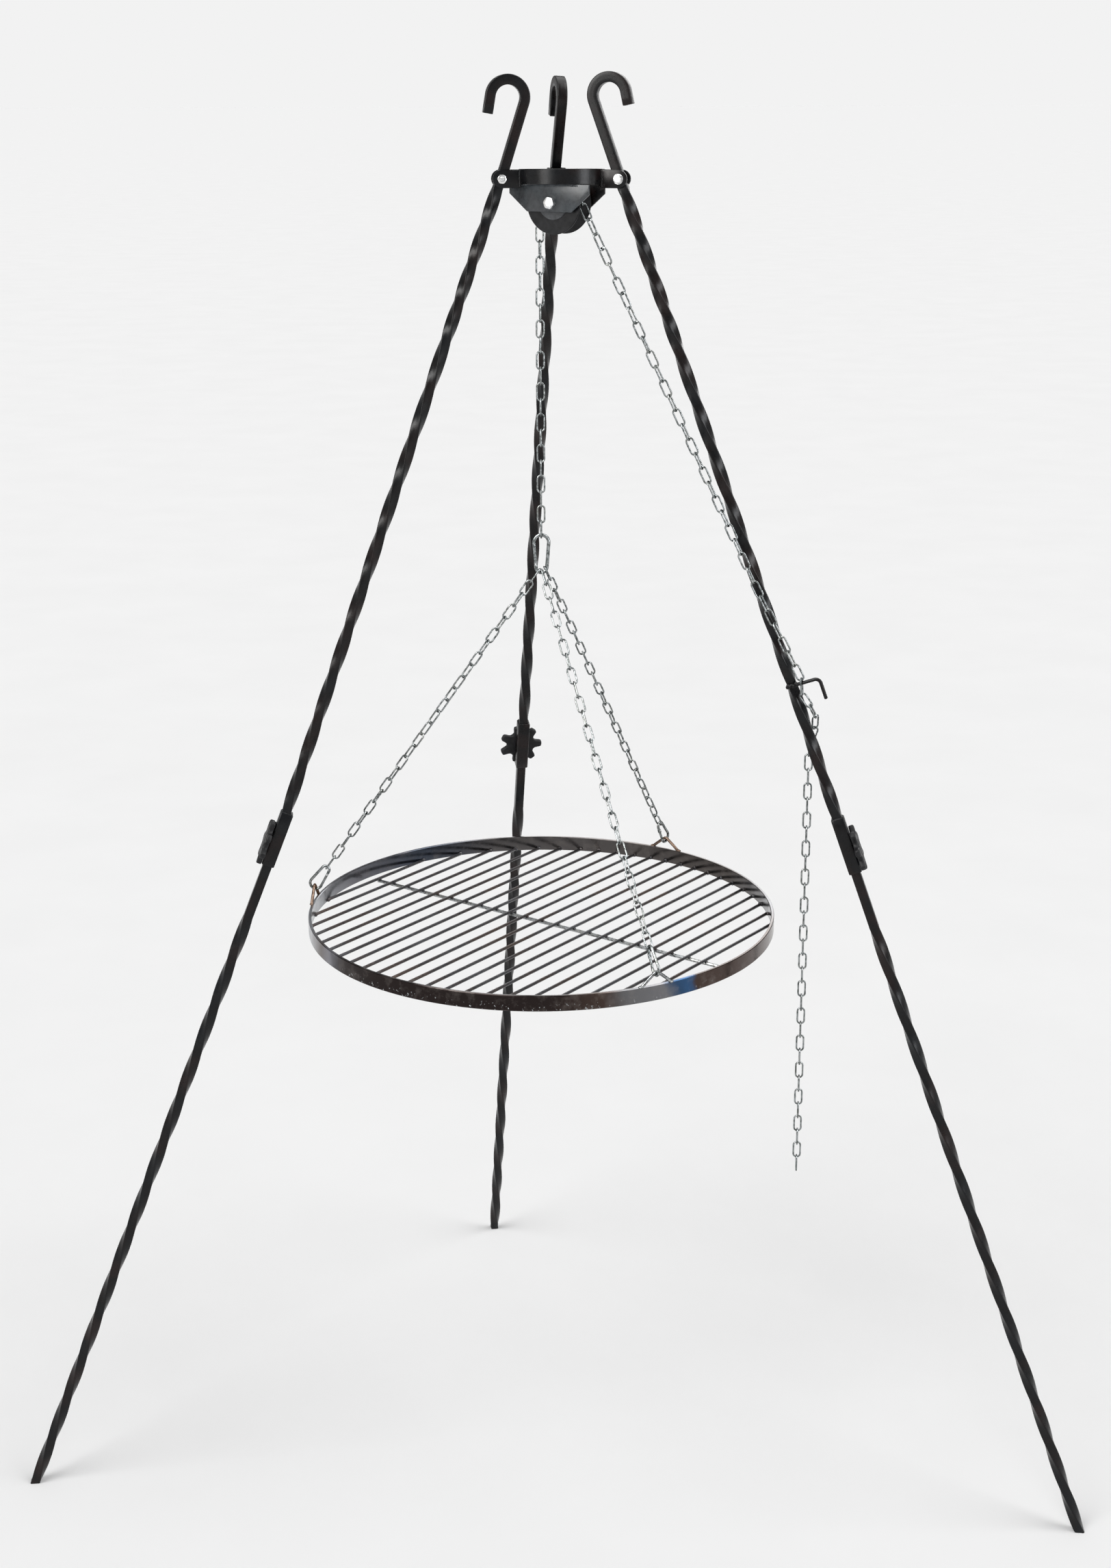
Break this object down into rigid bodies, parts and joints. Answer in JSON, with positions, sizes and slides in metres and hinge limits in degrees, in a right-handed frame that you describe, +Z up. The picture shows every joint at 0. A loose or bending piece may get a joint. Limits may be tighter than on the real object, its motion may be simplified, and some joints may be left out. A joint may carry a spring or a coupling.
{
  "type": "campfire tripod grate",
  "caption": "Folding steel campfire tripod with twisted telescopic legs, hanging a round grill grate from a chain that runs over a pulley at its head.",
  "frame": {"origin": "middle of the footprint box on the floor, under the feet", "axes": "+Z up; +X to the right and +Y to the rear, seen from the side where the left and right legs spread and the third leg stands behind"},
  "size_m": [1.4115, 0.9283, 1.8347],
  "materials": {
    "black_paint": "satin black paint",
    "knob_plastic": "matte black plastic",
    "pulley_plastic": "matte black plastic with a pale hub face",
    "zinc_chain": "bright zinc plate",
    "hook_wire": "dull zinc plate",
    "rim_steel": "polished, partly heat-tinted",
    "rod_steel": "dull drawn steel",
    "hanger_steel": "heat-tinted steel",
    "zinc_hardware": "bright zinc plate"
  },
  "bodies": {
    "head": {"head_ring": "black_paint", "left_hinge_ears": "black_paint", "right_hinge_ears": "black_paint", "back_hinge_ears": "black_paint", "pulley_plate_front": "black_paint", "pulley_plate_rear": "black_paint", "hinge_bolts": "zinc_hardware", "hinge_nuts": "zinc_hardware", "pulley_axle_bolt": "zinc_hardware", "pulley_axle_nut": "zinc_hardware", "pulley_washers": "zinc_hardware", "hoist_chain_wrap": "zinc_chain"},
    "pulley": {"pulley_wheel": "pulley_plastic"},
    "hoist": {"hoist_chain_drop": "zinc_chain"},
    "grate": {"top_snap_hook": "zinc_hardware", "top_snap_rivet": "zinc_hardware", "left_sling_chain": "zinc_chain", "front_sling_chain": "zinc_chain", "back_sling_chain": "zinc_chain", "left_snap_hook": "zinc_hardware", "front_snap_hook": "zinc_hardware", "back_snap_hook": "zinc_hardware", "sling_snap_rivets": "zinc_hardware", "left_hanger": "hanger_steel", "front_hanger": "hanger_steel", "back_hanger": "hanger_steel", "grate_rim": "rim_steel", "grate_rods": "rod_steel", "grate_cross_bar": "rod_steel"},
    "chain_tail": {"hoist_chain_tail": "zinc_chain"},
    "left_upper": {"left_upper_rod": "black_paint", "left_sleeve": "black_paint"},
    "left_lower": {"left_lower_rod": "black_paint"},
    "left_knob": {"left_star_knob": "knob_plastic", "left_knob_stud": "zinc_hardware"},
    "right_upper": {"right_upper_rod": "black_paint", "right_sleeve": "black_paint", "chain_hook": "hook_wire", "hoist_chain_run": "zinc_chain", "hoist_chain_hitch": "zinc_chain"},
    "right_lower": {"right_lower_rod": "black_paint"},
    "right_knob": {"right_star_knob": "knob_plastic", "right_knob_stud": "zinc_hardware"},
    "back_upper": {"back_upper_rod": "black_paint", "back_sleeve": "black_paint"},
    "back_lower": {"back_lower_rod": "black_paint"},
    "back_knob": {"back_star_knob": "knob_plastic", "back_knob_stud": "zinc_hardware"},
    "top_gate": {"top_snap_gate": "zinc_hardware"},
    "left_gate": {"left_snap_gate": "zinc_hardware"},
    "front_gate": {"front_snap_gate": "zinc_hardware"},
    "back_gate": {"back_snap_gate": "zinc_hardware"}
  },
  "joints": [
    {"name": "left_leg_fold", "type": "hinge", "parent": "head", "child": "left_upper", "pos_m": [-0.0503, -0.17136, 1.713], "axis": [-0.1513, 0.9885, 0], "range_deg": [-2.5, 10]},
    {"name": "left_leg_slide", "type": "slide", "parent": "left_upper", "child": "left_lower", "axis": [-0.3674, -0.0562, -0.9284], "range_m": [0, 0.04]},
    {"name": "left_knob_turn", "type": "hinge", "parent": "left_upper", "child": "left_knob", "pos_m": [-0.3553, -0.21739, 0.90092], "axis": [-0.9243, -0.0885, 0.3711], "continuous": true},
    {"name": "right_leg_fold", "type": "hinge", "parent": "head", "child": "right_upper", "pos_m": [0.09168, -0.18293, 1.713], "axis": [-0.314, -0.9494, 0], "range_deg": [-2.5, 10], "deforming": ["hoist_chain_run"]},
    {"name": "right_leg_slide", "type": "slide", "parent": "right_upper", "child": "right_lower", "axis": [0.3321, -0.1098, -0.9368], "range_m": [0, 0.04]},
    {"name": "right_knob_turn", "type": "hinge", "parent": "right_upper", "child": "right_knob", "pos_m": [0.38899, -0.27859, 0.91055], "axis": [0.9353, -0.0903, 0.3421], "continuous": true},
    {"name": "back_leg_fold", "type": "hinge", "parent": "head", "child": "back_upper", "pos_m": [0.01404, -0.09015, 1.713], "axis": [0.9811, 0.1934, 0], "range_deg": [-2.5, 10]},
    {"name": "back_leg_slide", "type": "slide", "parent": "back_upper", "child": "back_lower", "axis": [-0.0598, 0.3036, -0.9509], "range_m": [0, 0.04]},
    {"name": "back_knob_turn", "type": "hinge", "parent": "back_upper", "child": "back_knob", "pos_m": [-0.03853, 0.17659, 0.91706], "axis": [-0.1839, 0.933, 0.3095], "continuous": true},
    {"name": "grate_hoist", "type": "slide", "parent": "head", "child": "hoist", "axis": [0, 0, 1], "range_m": [-0.38, 0], "deforming": ["hoist_chain_drop"]},
    {"name": "pulley_spin", "type": "hinge", "parent": "head", "child": "pulley", "pos_m": [0.01891, -0.17391, 1.686], "axis": [-0.515, -0.8572, 0], "continuous": true},
    {"name": "grate_turn", "type": "hinge", "parent": "hoist", "child": "grate", "pos_m": [-0.00415, -0.16017, 1.29], "axis": [0, 0, 1], "continuous": true, "deforming": ["hoist_chain_drop"]},
    {"name": "tail_swing", "type": "hinge", "parent": "right_upper", "child": "chain_tail", "pos_m": [0.32821, -0.24325, 1.00215], "axis": [-0.314, -0.9494, 0], "range_deg": [-12, 12]},
    {"name": "top_gate_swing", "type": "hinge", "parent": "grate", "child": "top_gate", "pos_m": [-0.01132, -0.16017, 1.24684], "axis": [0, -1, 0], "range_deg": [-14, 0], "stiffness_Nm_per_rad": 0.03, "springref_deg": 5.73},
    {"name": "left_gate_swing", "type": "hinge", "parent": "grate", "child": "left_gate", "pos_m": [-0.28914, -0.12549, 0.82414], "axis": [-0.1219, -0.9925, -0.0005], "range_deg": [-14, 0], "stiffness_Nm_per_rad": 0.03, "springref_deg": 5.73},
    {"name": "front_gate_swing", "type": "hinge", "parent": "grate", "child": "front_gate", "pos_m": [0.12565, -0.41189, 0.82062], "axis": [0.8854, 0.4648, -0.008], "range_deg": [-14, 0], "stiffness_Nm_per_rad": 0.03, "springref_deg": 5.73},
    {"name": "back_gate_swing", "type": "hinge", "parent": "grate", "child": "back_gate", "pos_m": [0.15714, 0.07245, 0.81978], "axis": [-0.8181, 0.5749, 0.0153], "range_deg": [-14, 0], "stiffness_Nm_per_rad": 0.03, "springref_deg": 5.73}
  ],
  "couplings": [
    {"joint": "pulley_spin", "follows": "grate_hoist", "rad_per_m": -37.04},
    {"joint": "tail_swing", "follows": "right_leg_fold", "ratio": -1}
  ]
}
